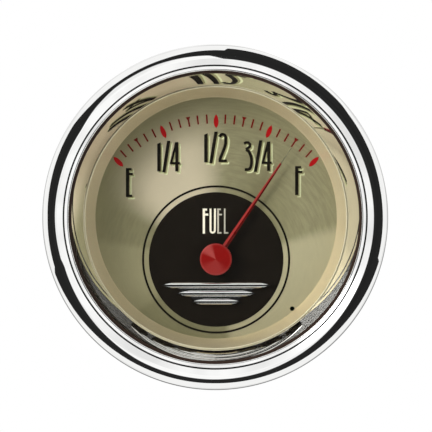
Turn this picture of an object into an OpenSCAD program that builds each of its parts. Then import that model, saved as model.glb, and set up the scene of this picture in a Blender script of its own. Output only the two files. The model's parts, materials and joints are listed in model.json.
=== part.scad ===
// Panel-mounted fuel gauge with a chrome bezel, an inner mirror ring and a short-sweep pointer.
// Pieces are drawn facing up: x to the right, y up the dial, z out towards the driver, with z = 0
// on the panel. face_frame() then stands the gauge up, so that the dial looks along -Y.

/* [Panel and case] */
// Diameter of the hole in the dash panel
panel_hole_d = 54; // [52:0.5:58]
// Gap between the barrel and the edge of the hole
barrel_gap = 0.1; // [0.05:0.05:0.3]
// Depth of the case behind the panel
case_depth = 30; // [27:0.5:40]
// Sheet thickness of the case
case_wall = 0.8; // [0.6:0.1:1]
// Outer corner radius at the back of the case
case_corner = 1.6; // [1.2:0.1:2.4]
// Thickness of the light cup's wall
cup_wall = 1.2; // [0.8:0.1:1.5]
// Thickness of the light cup's floor
cup_floor = 1.5; // [1:0.1:2]

/* [Bezel] */
// How far the bezel laps over the edge of the hole
bezel_lap = 3.15; // [2.9:0.05:4]
// Sheet thickness of the bezel
bezel_wall = 0.6; // [0.4:0.1:0.7]
// How far the crimped edge reaches in behind the case's flange
crimp_w = 1.4; // [1:0.1:1.5]
// Distance from the outer wall in to the crest
crest_in = 1.5; // [1.2:0.1:1.7]
// Fall of the rounded shoulder outside the crest
shoulder_h = 1.1; // [0.9:0.1:1.5]
// Radius of the crest's inner side
crest_r = 2.6; // [2:0.1:2.8]
// Slope of the bezel's inner face in degrees
slope = 25; // [20:1:30]
// Radial width of the hemmed lip over the lens
lip_w = 1.15; // [1:0.05:1.3]
// Height of the lip above the lens
lip_h = 1.1; // [0.9:0.1:1.4]
// Height of the fine step between the lip and the slope
step_h = 0.35; // [0.2:0.05:0.5]
// Radius of the lip's inner edge
lip_r = 0.45; // [0.3:0.05:0.5]

/* [Lens and rings] */
// Thickness of the lens
lens_t = 2; // [1.5:0.1:3]
// Thickness of the gasket under the lens
gasket_t = 0.8; // [0.5:0.1:1.2]
// How far the bezel's lip hides the case's inner wall
window_in = 0.5; // [0.45:0.05:0.7]
// Radial width of the mirror ring that shows
mirror_w = 2.5; // [2.2:0.05:2.7]
// Sheet thickness of the mirror ring
mirror_t = 0.5; // [0.4:0.1:0.6]
// Radial width of the satin ring that shows
satin_w = 1.9; // [1.6:0.05:2.1]
// Rise of the satin ring above the dial
satin_h = 4.2; // [3.8:0.05:4.6]
// Height of the satin ring's inner edge
satin_edge = 0.25; // [0.15:0.05:0.35]

/* [Dial] */
// Distance from the lens back to the dial
dial_depth = 8.5; // [8:0.1:8.8]
// Thickness of the dial plate
dial_t = 0.8; // [0.6:0.1:1]
// Thickness of the printed layers
print_t = 0.05; // [0.04:0.01:0.08]
// Distance of the pointer's pivot below the dial's centre
pivot_drop = 7.3; // [6.8:0.1:7.8]
// Gap between the thin circle and the satin ring below the pivot
circle_gap = 0.9; // [0.7:0.05:1.2]
// Line width of the thin circle
circle_w = 0.28; // [0.2:0.02:0.4]
// Bare band between the thin circle and the black disc
disc_gap = 0.9; // [0.6:0.1:1.2]
// Distance from the satin ring down to the top mark
marks_in = 3.1; // [2.9:0.05:3.6]
// Angle from E to F in degrees
sweep = 90; // [84:1:92]
// Length of a quarter mark
quarter_len = 2.4; // [1.8:0.05:2.6]
// Width of a quarter mark
quarter_w = 0.75; // [0.6:0.05:0.9]
// Length of a fine mark
fine_len = 1.5; // [1.2:0.05:1.8]
// Width of a fine mark
fine_w = 0.3; // [0.2:0.02:0.4]
// Width of the head of an eighth mark
eighth_w = 0.75; // [0.6:0.05:0.9]
// Length of the trim below the hub
trim_len = 19.2; // [16:0.2:20]
// Width of one bar of the trim
trim_bar_w = 1.1; // [0.9:0.05:1.3]
// Distance from bar to bar in the trim
trim_pitch = 1.45; // [1.4:0.05:1.6]
// Distance from the pivot down to the trim's top bar
trim_drop = 4.55; // [4.2:0.05:5]
// Diameter of the small hole at the dial's edge
peep_d = 0.8; // [0.6:0.1:1]

/* [Pointer] */
// Length of the pointer from the pivot to the tip
pointer_len = 20.3; // [19:0.1:21]
// Width of the pointer at the hub
pointer_root_w = 0.96; // [0.8:0.02:1.2]
// Width of the pointer at the tip
pointer_tip_w = 0.36; // [0.3:0.02:0.5]
// Height of the pointer's ridge
pointer_t = 0.4; // [0.3:0.05:0.5]
// Height of the pointer above the dial
pointer_lift = 1.25; // [1:0.05:1.4]
// Angle of the pointer at rest, clockwise from straight up, in degrees
pointer_angle = 34.1; // [0:0.1:44]
// Diameter of the hub cap
hub_d = 5.6; // [5:0.1:6.4]
// Height of the hub cap
hub_h = 1.1; // [0.8:0.05:1.3]
// Diameter of the spindle
spindle_d = 1; // [0.8:0.05:1.2]

/* [Movement] */
// Diameter of the shield can
can_d = 20.4; // [20:0.2:22]
// Height of the shield can
can_h = 13.4; // [12.6:0.2:15]
// Sheet thickness of the shield can
can_wall = 0.5; // [0.4:0.05:0.6]
// Side of the bobbin's square core
core_w = 11; // [10.8:0.1:11.6]
// Thickness of each winding
coil_t = 1.1; // [0.8:0.05:1.2]
// Width of each half of a winding
coil_w = 2.2; // [1.8:0.1:2.4]
// Side of a bobbin corner post
post_w = 2; // [1.6:0.1:2.1]
// Diameter of the rotor magnet
magnet_d = 8.4; // [7.6:0.1:8.8]
// Thickness of the rotor magnet
magnet_t = 3; // [2.4:0.1:3.4]
// Wall of the bobbin above and below the magnet
core_end = 1.9; // [1.6:0.1:2.2]
// Outer diameter of the spindle's two bearings
bearing_d = 2.4; // [2.2:0.1:2.6]
// Thickness of the circuit board
board_t = 1.6; // [1:0.1:2]
// Height of the board above the light cup's floor
board_h = 1.7; // [1.2:0.1:4.5]

/* [Terminals] */
// Diameter of a terminal stud, number 8 thread
terminal_d = 4.16; // [3.8:0.02:4.6]
// Length of a terminal stud beyond its nut
terminal_free = 8; // [6:0.5:12]
// Distance of the side terminals from the centre line
terminal_x = 10.5; // [10.2:0.1:11]
// Distance of the side terminals below the gauge's centre
terminal_y = 13.5; // [13.2:0.1:14]
// Distance of the middle terminal below the gauge's centre
terminal_mid_y = 19.2; // [18.8:0.1:19.6]
// Width across the flats of a terminal nut
terminal_nut_w = 8.7; // [8:0.1:9]
// Height of a terminal nut
terminal_nut_h = 3.2; // [2.6:0.1:3.6]
// Thickness of an insulator's flange
insulator_t = 1; // [0.8:0.1:1.4]

/* [Clamp bracket] */
// Diameter of a mounting stud, number 10 thread
mount_d = 4.82; // [4.4:0.02:5.2]
// Distance of each mounting stud from the centre
mount_x = 17.5; // [17:0.1:18]
// Length of a mounting stud behind the case
mount_len = 23.5; // [23:0.5:30]
// Width of the bracket's strap
strap_w = 11; // [10:0.5:11.5]
// Thickness of the bracket's strap
strap_t = 1.5; // [1.2:0.1:1.6]
// Gap between the barrel and the bracket's legs
leg_gap = 1.2; // [1:0.1:1.4]
// Distance from the panel seat to the bracket's feet
foot_gap = 5.5; // [5:0.1:6]
// Distance from the feet to the bracket's bridge
leg_len = 34; // [33.6:0.2:34.6]
// Inside radius of the bracket's bends
bend_r = 1.5; // [1:0.1:2]
// Width across the flats of a jam nut
jam_nut_w = 9.5; // [8.8:0.1:10]
// Height of a jam nut
jam_nut_h = 2.6; // [2:0.1:2.8]
// Diameter of a thumb nut
thumb_d = 10; // [9:0.2:11]
// Height of a thumb nut
thumb_h = 5; // [4:0.1:5.6]
// Number of grooves in a thumb nut's knurl
thumb_grooves = 24; // [16:1:30]

/* [Lamp] */
// Distance of the lamp above the gauge's centre
lamp_y = 14.5; // [14.2:0.1:15]
// Diameter of the lamp hole in the case
lamp_hole_d = 12.2; // [11.8:0.1:12.6]
// Gap between the lamp holder and its hole
lamp_gap = 0.1; // [0.05:0.05:0.2]
// Diameter of the lamp holder's flange
lamp_flange_d = 14.6; // [14:0.1:15]
// Thickness of the lamp holder's flange
lamp_flange_t = 1.6; // [1.2:0.1:2]
// Length of the lamp holder's grip behind the flange
lamp_grip_len = 6.5; // [5:0.5:9]
// Length of the bulb's glass in front of its holder
bulb_len = 13.5; // [12:0.5:15.5]
// Diameter of the bulb
bulb_d = 9.8; // [8.5:0.1:10.2]

/* [Fits] */
// Gap between pieces that are pressed or placed together
fit_gap = 0.05; // [0.03:0.01:0.1]
// Radial clearance of pieces that turn or slide on each other
run_gap = 0.06; // [0.03:0.01:0.09]

/* [Hidden] */
$fn = 96;
eps = 0.01;
over = 1;

// Radii of the case, the bezel and what they hold
case_r = panel_hole_d / 2 - barrel_gap;
case_in_r = case_r - case_wall;
bezel_r = panel_hole_d / 2 + bezel_lap;
flange_gap = 0.35;
flange_r = bezel_r - bezel_wall - flange_gap;
lens_in = 0.6;
lens_r = flange_r - lens_in;
window_r = case_in_r - window_in;
mirror_in_r = window_r - mirror_w;
dial_view_r = mirror_in_r - satin_w;
ring_gap = 0.2;
ring_r = case_in_r - ring_gap;
cup_in_r = ring_r - cup_wall;

// Heights from the panel seat out to the lens and in to the dial
flange_z = bezel_wall;
gasket_z = flange_z + case_wall;
lens_z = gasket_z + gasket_t;
lens_top = lens_z + lens_t;
dial_z = lens_z - dial_depth;
satin_z = dial_z + satin_h;
dial_back = dial_z - dial_t;
case_back = -case_depth;
cup_z = case_back + case_wall;
floor_z = cup_z + cup_floor;
board_z = floor_z + board_h;
board_top = board_z + board_t;

// The bezel's outer skin, from the lip out to the wall
land_rise = 0.12;
step_run = 0.12;
crest_x = bezel_r - crest_in;
slope_x0 = window_r + lip_w;
slope_x1 = crest_x - crest_r * sin(slope);
slope_z0 = lens_top + lip_h + land_rise + step_h;
slope_z1 = slope_z0 + (slope_x1 - slope_x0) * tan(slope);
crest_z = slope_z1 + crest_r * (1 - cos(slope));
shoulder_z = crest_z - shoulder_h;

// The scale, about the pivot
marks_r = dial_view_r - marks_in + pivot_drop;
divisions = 24;
division = sweep / divisions;
circle_r = dial_view_r - pivot_drop - circle_gap;
disc_r = circle_r - circle_w - disc_gap;

// The movement, from the board up
can_z = board_top + can_wall;
coil_gap = 0.3;
core_z0 = can_z + coil_gap + 2 * coil_t;
cavity_gap = 0.4;
cavity_h = magnet_t + 2 * cavity_gap;
cavity_r = magnet_d / 2 + cavity_gap;
core_h = cavity_h + 2 * core_end;
core_mid = core_z0 + core_h / 2;
core_z1 = core_z0 + core_h;
post_top = core_z1 + 2 * coil_t + coil_gap;
post_out = 0.7;
post_at = core_w / 2 - post_w / 2 + post_out;
boss_wall = 0.5;
boss_r = bearing_d / 2 + boss_wall;
coil_in = boss_r + 2 * fit_gap;
spindle_r = spindle_d / 2;
bearing_r = bearing_d / 2;
jewel_h = 2.1;
jewel_floor = 0.9;
jewel_z0 = core_mid - cavity_h / 2 - jewel_h;
spindle_z0 = jewel_z0 + jewel_floor;
bearing_z1 = core_z1 + 2 * coil_t;
pointer_z = dial_z + pointer_lift;
boss_rise = 0.1;
boss_h = pointer_t + boss_rise;
hub_z = pointer_z + boss_h;
spindle_in_hub = 0.5;
spindle_z1 = hub_z + spindle_in_hub;
pivot_hole_r = 1.2;

// The rear fasteners
terminal_r = terminal_d / 2;
relief = 0.25;
thread_gap = 0.04;
sleeve_w = 1.05;
insulator_w = 2.5;
cup_hole_gap = 0.3;
collar_r = 3.4;
tenon_r = 1.2;
insulator_z = case_back - insulator_t;
washer_t = 0.8;
washer_r = 4.2;
mount_washer_r = 4.8;
terminal_washer_z = insulator_z - washer_t;
terminal_nut_z = terminal_washer_z - terminal_nut_h;
terminal_end = terminal_nut_z - terminal_free;
terminal_at = [[-terminal_x, -terminal_y], [0, -terminal_mid_y], [terminal_x, -terminal_y]];
mount_r = mount_d / 2;
mount_collar_r = 4;
mount_at = [[-mount_x, 0], [mount_x, 0]];
mount_end = case_back - mount_len;
jam_nut_z = case_back - washer_t - jam_nut_h;
tip_bevel = 0.5;

// The clamp bracket, from its feet back to its bridge
leg_x = case_r + leg_gap;
foot_z = -foot_gap;
bridge_z = foot_z - leg_len;
bridge_back = bridge_z - strap_t;
bracket_hole_gap = 0.3;
bracket_hole_r = mount_r + bracket_hole_gap;
spring_t = 1.1;
spring_r = 4.3;
face_gap = 0.05;
thumb_z = bridge_back - spring_t - face_gap;

// The lamp, from its flange forward
lamp_r = lamp_hole_d / 2 - lamp_gap;
lamp_in = 3.2;
lamp_front = floor_z + lamp_in;
wedge_w = 9;
wedge_t = 2.3;
wedge_len = 6;
contact_w = 3;
contact_t = 0.5;
contact_out = 5.5;
grip_r = 5.2;
grip_end = case_back - lamp_flange_t - lamp_grip_len;

function arc(cx, cy, rx, ry, a0, a1, n) =
    [for (i = [0:n]) let (a = a0 + (a1 - a0) * i / n) [cx + rx * cos(a), cy + ry * sin(a)]];

function rounded_box(w, h, r) = concat(
    arc(w / 2 - r, h / 2 - r, r, r, 0, 90, 4), arc(r - w / 2, h / 2 - r, r, r, 90, 180, 4),
    arc(r - w / 2, r - h / 2, r, r, 180, 270, 4), arc(w / 2 - r, r - h / 2, r, r, 270, 360, 4));

module face_frame() {
    rotate([90, 0, 0]) children();
}

module at_pivot(z = 0) {
    translate([0, -pivot_drop, z]) children();
}

module disc(r, z0, z1) {
    translate([0, 0, z0]) cylinder(r = r, h = z1 - z0);
}

module ring(r_out, r_in, z0, z1) {
    difference() {
        disc(r_out, z0, z1);
        disc(r_in, z0 - over, z1 + over);
    }
}

module at_each(places) {
    for (p = places) translate([p[0], p[1], 0]) children();
}

// Rolled chrome bezel, hemmed over the lens and crimped behind the case's flange
module bezel() {
    inner_x = bezel_r - bezel_wall;
    hem_x = slope_x0 + bezel_wall / 2;
    section = concat(
        [[flange_r - crimp_w, 0], [bezel_r - bezel_wall, 0]],
        arc(bezel_r - bezel_wall, bezel_wall, bezel_wall, bezel_wall, 270, 360, 5),
        arc(crest_x, shoulder_z, crest_in, shoulder_h, 0, 90, 14),
        arc(crest_x, crest_z - crest_r, crest_r, crest_r, 90, 90 + slope, 6),
        [[slope_x0, slope_z0], [slope_x0 - step_run, slope_z0 - step_h]],
        arc(window_r + lip_r, lens_top + lip_h - lip_r, lip_r, lip_r, 90, 180, 6),
        [[window_r, lens_top], [hem_x, lens_top], [hem_x, slope_z0 - bezel_wall]],
        [[slope_x1, slope_z1 - bezel_wall], [crest_x, crest_z - bezel_wall]],
        arc(crest_x, shoulder_z, crest_in - bezel_wall, shoulder_h - bezel_wall, 80, 0, 6),
        [[inner_x, bezel_wall], [flange_r - crimp_w, bezel_wall]]);
    color("silver") face_frame() rotate_extrude() polygon(section);
}

module lens() {
    color([0.85, 0.93, 0.92, 0.35]) face_frame() disc(lens_r, lens_z, lens_top);
}

module lens_gasket() {
    color("dimgray") face_frame() ring(lens_r, case_in_r + fit_gap, gasket_z, lens_z);
}

// Polished cone between the lens and the satin ring, with a flange under the lens
module mirror_ring() {
    foot_x = mirror_in_r + mirror_t * sqrt(1 + pow(mirror_w / (lens_z - satin_z), 2));
    section = [
        [window_r, lens_z], [ring_r, lens_z], [ring_r, lens_z - mirror_t],
        [window_r + mirror_t / 2, lens_z - mirror_t], [foot_x, satin_z], [mirror_in_r, satin_z]
    ];
    color("gainsboro") face_frame() rotate_extrude() polygon(section);
}

// Satin ring that slopes from the mirror ring down to the dial
module satin_ring() {
    bevel = 0.18;
    section = [
        [dial_view_r, dial_z], [ring_r, dial_z], [ring_r, satin_z], [mirror_in_r - eps, satin_z],
        [mirror_in_r - bevel, satin_z - bevel], [dial_view_r, dial_z + satin_edge]
    ];
    color("tan") face_frame() rotate_extrude() polygon(section);
}

// Drawn steel can with a flange at the front and holes for the studs and the lamp
module case() {
    insulator_hole_r = terminal_r + sleeve_w + fit_gap;
    mount_hole_r = mount_r + 2 * fit_gap;
    shell = concat(
        [[0, case_back], [case_r - case_corner, case_back]],
        arc(case_r - case_corner, case_back + case_corner, case_corner, case_corner, 270, 360, 6),
        [[case_r, flange_z], [case_in_r, flange_z], [case_in_r, case_back + case_corner]],
        arc(case_r - case_corner, case_back + case_corner,
            case_corner - case_wall, case_corner - case_wall, 360, 270, 6),
        [[0, cup_z]]);
    color("lightsteelblue") face_frame() difference() {
        rotate_extrude() polygon(shell);
        at_each(terminal_at) disc(insulator_hole_r, case_back - over, cup_z + over);
        at_each(mount_at) disc(mount_hole_r, case_back - over, cup_z + over);
        translate([0, lamp_y, 0]) disc(lamp_hole_d / 2, case_back - over, cup_z + over);
    }
}

// Flange on the mouth of the case: the bezel is crimped behind it and the gasket lies on it
module case_flange() {
    color("lightsteelblue") face_frame() ring(flange_r, case_in_r, flange_z, gasket_z);
}

// Brushed dial with holes for the spindle, the trim's two pegs and a small hole at the edge
module dial_plate() {
    peep_angle = 140;
    peep_at = dial_view_r - 0.4;
    color("darkkhaki") face_frame() difference() {
        disc(ring_r, dial_back, dial_z);
        at_pivot() disc(pivot_hole_r, dial_back - over, dial_z + over);
        trim_pegs(fit_gap, over);
        translate([peep_at * sin(peep_angle), peep_at * cos(peep_angle), 0])
            disc(peep_d / 2, dial_back - over, dial_z + over);
    }
}

module dial_print_black() {
    color("black") face_frame() difference() {
        at_pivot() union() {
            ring(disc_r, pivot_hole_r, dial_z, dial_z + print_t);
            ring(circle_r, circle_r - circle_w, dial_z, dial_z + print_t);
        }
        trim_pegs(fit_gap, over);
    }
}

function quarter_mark() = [
    [0, marks_r], [quarter_w * 0.36, marks_r - quarter_len * 0.26],
    [quarter_w / 2, marks_r - quarter_len * 0.5], [quarter_w * 0.36, marks_r - quarter_len * 0.74],
    [0, marks_r - quarter_len], [-quarter_w * 0.36, marks_r - quarter_len * 0.74],
    [-quarter_w / 2, marks_r - quarter_len * 0.5], [-quarter_w * 0.36, marks_r - quarter_len * 0.26]
];

function eighth_mark() = [
    [-eighth_w / 2, marks_r], [eighth_w / 2, marks_r], [fine_w / 2, marks_r - fine_len * 0.4],
    [fine_w / 2, marks_r - fine_len * 1.1], [-fine_w / 2, marks_r - fine_len * 1.1],
    [-fine_w / 2, marks_r - fine_len * 0.4]
];

function fine_mark() = [
    [-fine_w / 2, marks_r], [fine_w / 2, marks_r],
    [fine_w / 2, marks_r - fine_len], [-fine_w / 2, marks_r - fine_len]
];

// Scale marks: a long mark at each quarter, a headed one at each eighth and two fine ones between
module dial_print_red() {
    color("firebrick") face_frame() at_pivot(dial_z)
        for (i = [0:divisions]) rotate([0, 0, sweep / 2 - i * division])
            linear_extrude(print_t) polygon(
                i % 6 == 0 ? quarter_mark() : i % 3 == 0 ? eighth_mark() : fine_mark());
}

module trim_pegs(gap = 0, more = 0) {
    peg_r = 0.6;
    peg_at = trim_len * 0.14;
    at_pivot() for (x = [-peg_at, peg_at])
        translate([x, -trim_drop - trim_pitch, 0])
            disc(peg_r + gap, dial_back - more, dial_z + print_t + more);
}

// Chrome trim of three stacked half-round bars on a slim plate, held by two pegs
module dial_trim() {
    bars = 3;
    shrink = 0.27;
    plate_t = 0.3;
    z0 = dial_z + print_t;
    point = 2.2;
    r = trim_bar_w / 2;
    plate_r = r * 0.8;
    color("whitesmoke") face_frame() union() {
        at_pivot() for (i = [0:bars - 1]) {
            half = trim_len * (1 - shrink * i) / 2;
            y = -trim_drop - trim_pitch * i;
            plan = [[-half, y], [-half + point, y - r], [half - point, y - r], [half, y],
                    [half - point, y + r], [-half + point, y + r]];
            intersection() {
                translate([0, 0, z0]) linear_extrude(plate_t + r) polygon(plan);
                union() {
                    translate([-half, y, z0 + plate_t]) rotate([0, 90, 0])
                        cylinder(r = r, h = 2 * half);
                    translate([-half, y - r, z0]) cube([2 * half, 2 * r, plate_t]);
                }
            }
        }
        at_pivot() translate([0, 0, z0]) linear_extrude(plate_t) polygon([
            [-trim_len * 0.42, -trim_drop + plate_r], [trim_len * 0.42, -trim_drop + plate_r],
            [trim_len * 0.15, -trim_drop - trim_pitch * 2 - plate_r],
            [-trim_len * 0.15, -trim_drop - trim_pitch * 2 - plate_r]]);
        trim_pegs();
    }
}

module posed_pointer() {
    at_pivot() rotate([0, 0, -pointer_angle]) children();
}

// Needle with two facets that meet in a ridge, on a round boss around the spindle
module pointer() {
    root_y = 1.4;
    boss_out = hub_d / 2 - 0.8;
    side_h = pointer_t * 0.25;
    root = pointer_root_w / 2;
    tip = pointer_tip_w / 2;
    plan = [[-root, root_y], [root, root_y], [tip, pointer_len], [-tip, pointer_len]];
    ridge = [[-root, 0], [root, 0], [root, side_h], [0, pointer_t], [-root, side_h]];
    color("red") face_frame() posed_pointer() translate([0, 0, pointer_z]) difference() {
        union() {
            intersection() {
                translate([0, 0, -over]) linear_extrude(pointer_t + 2 * over) polygon(plan);
                translate([0, pointer_len + over, 0]) rotate([90, 0, 0])
                    linear_extrude(pointer_len + over) polygon(ridge);
            }
            disc(boss_out, 0, boss_h);
        }
        disc(spindle_r + fit_gap, -over, boss_h + over);
    }
}

// Hub cap with a shallow turned cone on its face
module hub_cap() {
    hub_r = hub_d / 2;
    edge = 0.15;
    rise = 0.25;
    color("crimson") face_frame() at_pivot(hub_z) difference() {
        rotate_extrude() polygon([[0, 0], [hub_r - edge, 0], [hub_r, edge],
            [hub_r, hub_h - rise - edge], [hub_r - edge, hub_h - rise], [0, hub_h]]);
        disc(spindle_r + fit_gap, -over, spindle_z1 - hub_z + fit_gap);
    }
}

module spindle() {
    color("silver") face_frame() at_pivot() disc(spindle_r, spindle_z0, spindle_z1);
}

module rotor_magnet() {
    color("slategray") face_frame() at_pivot()
        ring(magnet_d / 2, spindle_r + fit_gap, core_mid - magnet_t / 2, core_mid + magnet_t / 2);
}

// White cup that lines the case, carries the dial on its rim and spreads the lamp's light
module light_cup() {
    section = [
        [0, cup_z], [ring_r - case_corner, cup_z], [ring_r, cup_z + case_corner],
        [ring_r, dial_back], [cup_in_r, dial_back], [cup_in_r, floor_z + cup_wall],
        [cup_in_r - cup_wall, floor_z], [0, floor_z]
    ];
    color("white") face_frame() difference() {
        rotate_extrude() polygon(section);
        at_each(terminal_at) disc(terminal_r + cup_hole_gap, cup_z - over, floor_z + over);
        at_each(mount_at) disc(mount_r + cup_hole_gap, cup_z - over, floor_z + over);
        translate([0, lamp_y, 0])
            disc(lamp_hole_d / 2 + cup_hole_gap, cup_z - over, floor_z + over);
    }
}

module shield_can() {
    color("darkgray") face_frame() at_pivot() difference() {
        disc(can_d / 2, board_top, board_top + can_h);
        disc(can_d / 2 - can_wall, can_z, board_top + can_h + over);
    }
}

module bobbin_posts(z0, z1) {
    for (x = [-1, 1], y = [-1, 1])
        translate([x * post_at - post_w / 2, y * post_at - post_w / 2, z0])
            cube([post_w, post_w, z1 - z0]);
}

module bobbin_core(z0, z1) {
    translate([0, 0, z0]) linear_extrude(z1 - z0) square(core_w, center = true);
}

module bobbin_lower() {
    color("ivory") face_frame() at_pivot() difference() {
        union() {
            bobbin_core(core_z0, core_mid);
            bobbin_posts(can_z, core_mid);
            disc(boss_r, jewel_z0 - boss_wall, core_mid);
        }
        disc(cavity_r, core_mid - cavity_h / 2, core_mid + over);
        disc(bearing_r + fit_gap, jewel_z0, core_mid);
    }
}

module bobbin_upper() {
    color("ivory") face_frame() at_pivot() difference() {
        union() {
            bobbin_core(core_mid, core_z1);
            bobbin_posts(core_mid, post_top);
            disc(boss_r, core_mid, bearing_z1);
        }
        disc(cavity_r, core_mid - over, core_mid + cavity_h / 2);
        disc(bearing_r + fit_gap, core_mid, bearing_z1 + over);
    }
}

// One winding: two flat loops, one on each side of the spindle
module winding(half_w, z0, z1) {
    for (side = [-1, 1])
        translate([0, side * (coil_in + coil_w / 2) + coil_w / 2, (z0 + z1) / 2])
            rotate([90, 0, 0]) linear_extrude(coil_w) difference() {
                polygon(rounded_box(2 * half_w, z1 - z0, coil_t * 0.8));
                square([2 * (half_w - coil_t), z1 - z0 - 2 * coil_t], center = true);
            }
}

module coil_inner() {
    color("peru") face_frame() at_pivot()
        winding(core_w / 2 + coil_t, core_z0 - coil_t, core_z1 + coil_t);
}

module coil_outer() {
    color("sienna") face_frame() at_pivot() rotate([0, 0, 90])
        winding(core_w / 2 + coil_t, core_z0 - 2 * coil_t, core_z1 + 2 * coil_t);
}

module top_bearing() {
    color("gold") face_frame() at_pivot()
        ring(bearing_r, spindle_r + run_gap, core_mid + cavity_h / 2, bearing_z1);
}

module pivot_jewel() {
    color("orchid") face_frame() at_pivot() difference() {
        disc(bearing_r, jewel_z0, core_mid - cavity_h / 2);
        disc(spindle_r + run_gap, spindle_z0 - run_gap, core_mid);
    }
}

// Board across the lower part of the cup, carried by the studs' collars
module circuit_board() {
    board_gap = 0.4;
    board_cut_y = 6.5;
    color("seagreen") face_frame() difference() {
        disc(cup_in_r - board_gap, board_z, board_top);
        translate([-case_r, board_cut_y, board_z - over])
            cube([2 * case_r, case_r, board_t + 2 * over]);
        at_each(terminal_at) disc(tenon_r + fit_gap, board_z - over, board_top + over);
        at_each(mount_at) disc(tenon_r + fit_gap, board_z - over, board_top + over);
    }
}

// Two axial resistors that set the movement's range
module resistors() {
    body_r = 1.2;
    body_len = 6.5;
    lead_r = 0.3;
    lead_out = 1.1;
    below_pivot = 2.2;
    beside_can = 4.8;
    ends = body_len / 2 + lead_out;
    color("burlywood") face_frame() for (x = [-1, 1])
        translate([x * (can_d / 2 + beside_can), -pivot_drop - below_pivot, board_top + body_r]) {
            rotate([90, 0, 0]) translate([0, 0, -body_len / 2]) cylinder(r = body_r, h = body_len);
            for (s = [-1, 1]) translate([0, s * ends, 0]) {
                rotate([s * 90, 0, 0]) cylinder(r = lead_r, h = lead_out + over);
                translate([0, 0, -body_r]) cylinder(r = lead_r, h = body_r + lead_r);
            }
        }
}

// Turned stud: tenon through the board, collar under it, shank out through the back
module stud(r, free_from, end, collar) {
    rotate_extrude() polygon([
        [0, board_top], [tenon_r, board_top], [tenon_r, board_z], [collar, board_z],
        [collar, floor_z], [r - relief, floor_z], [r - relief, free_from], [r, free_from],
        [r, end + tip_bevel], [r - tip_bevel, end], [0, end]
    ]);
}

module terminal_studs() {
    color("goldenrod") face_frame() at_each(terminal_at)
        stud(terminal_r, terminal_nut_z, terminal_end, collar_r);
}

module terminal_insulators() {
    color("saddlebrown") face_frame() at_each(terminal_at) difference() {
        union() {
            disc(terminal_r + insulator_w, insulator_z, case_back);
            disc(terminal_r + sleeve_w, insulator_z, cup_z);
        }
        disc(terminal_r + fit_gap, insulator_z - over, cup_z + over);
    }
}

module terminal_washers() {
    color("silver") face_frame() at_each(terminal_at)
        ring(washer_r, terminal_r + fit_gap, terminal_washer_z, insulator_z);
}

module hex_nut(width, bore_r, z0, z1) {
    chamfer = 0.4;
    corner_r = width / sqrt(3);
    difference() {
        intersection() {
            translate([0, 0, z0]) cylinder(r = corner_r, h = z1 - z0, $fn = 6);
            translate([0, 0, z0]) rotate_extrude() polygon([
                [0, 0], [width / 2, 0], [corner_r + eps, chamfer], [corner_r + eps, z1 - z0],
                [0, z1 - z0]
            ]);
        }
        disc(bore_r, z0 - over, z1 + over);
    }
}

module terminal_nuts() {
    color("gold") face_frame() at_each(terminal_at)
        hex_nut(terminal_nut_w, terminal_r - relief + thread_gap, terminal_nut_z, terminal_washer_z);
}

module mounting_studs() {
    color("silver") face_frame() at_each(mount_at)
        stud(mount_r, jam_nut_z, mount_end, mount_collar_r);
}

module jam_washers() {
    color("gainsboro") face_frame() at_each(mount_at)
        ring(mount_washer_r, mount_r + fit_gap, case_back - washer_t, case_back);
}

module jam_nuts() {
    color("silver") face_frame() at_each(mount_at)
        hex_nut(jam_nut_w, mount_r - relief + thread_gap, jam_nut_z, case_back - washer_t);
}

// U-shaped strap that pulls the gauge against the panel
module clamp_bracket() {
    out_x = leg_x + strap_t;
    bend_out = bend_r + strap_t;
    half = concat(
        [[0, bridge_z], [leg_x - bend_r, bridge_z]],
        arc(leg_x - bend_r, bridge_z + bend_r, bend_r, bend_r, 270, 360, 5),
        [[leg_x, foot_z], [out_x, foot_z]],
        arc(leg_x - bend_r, bridge_z + bend_r, bend_out, bend_out, 360, 270, 5),
        [[0, bridge_back]]);
    color("silver") face_frame() difference() {
        union() {
            strap_half(half);
            mirror([1, 0, 0]) strap_half(half);
        }
        at_each(mount_at) disc(bracket_hole_r, bridge_back - over, bridge_z + over);
    }
}

module strap_half(points) {
    rotate([90, 0, 0]) translate([0, 0, -strap_w / 2]) linear_extrude(strap_w) polygon(points);
}

// Split spring washers between the bracket and the thumb nuts
module lock_washers() {
    split = 0.5;
    color("gainsboro") face_frame() at_each(mount_at) difference() {
        ring(spring_r, mount_r + bracket_hole_gap, bridge_back - spring_t, bridge_back);
        translate([0, -split / 2, bridge_back - spring_t - over])
            cube([spring_r + over, split, spring_t + 2 * over]);
    }
}

// Knurled thumb nut, with a plain collar towards the bracket
module thumb_nut(place) {
    collar_h = 1;
    bevel = 0.4;
    r = thumb_d / 2;
    thumb_collar_r = r * 0.72;
    groove_r = 0.38;
    color("goldenrod") face_frame() translate([place[0], place[1], 0]) difference() {
        translate([0, 0, thumb_z - thumb_h]) rotate_extrude() polygon([
            [mount_r + run_gap, 0], [r - bevel, 0], [r, bevel],
            [r, thumb_h - collar_h - bevel], [r - bevel, thumb_h - collar_h],
            [thumb_collar_r, thumb_h - collar_h], [thumb_collar_r, thumb_h],
            [mount_r + run_gap, thumb_h]
        ]);
        for (i = [0:thumb_grooves - 1]) rotate([0, 0, i * 360 / thumb_grooves])
            translate([r + groove_r * 0.3, 0, 0])
                disc(groove_r, thumb_z - thumb_h - over, thumb_z - collar_h);
    }
}

module thumb_nut_left() {
    thumb_nut(mount_at[0]);
}

module thumb_nut_right() {
    thumb_nut(mount_at[1]);
}

module contact_strips(gap) {
    for (s = [-1, 1])
        translate([-contact_w / 2 - gap, s * (wedge_t / 2 + contact_t / 2 + 2 * fit_gap)
                   - contact_t / 2 - gap, grip_end - contact_out])
            cube([contact_w + 2 * gap, contact_t + 2 * gap,
                  lamp_front - 1 - grip_end + contact_out + gap]);
}

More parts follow.
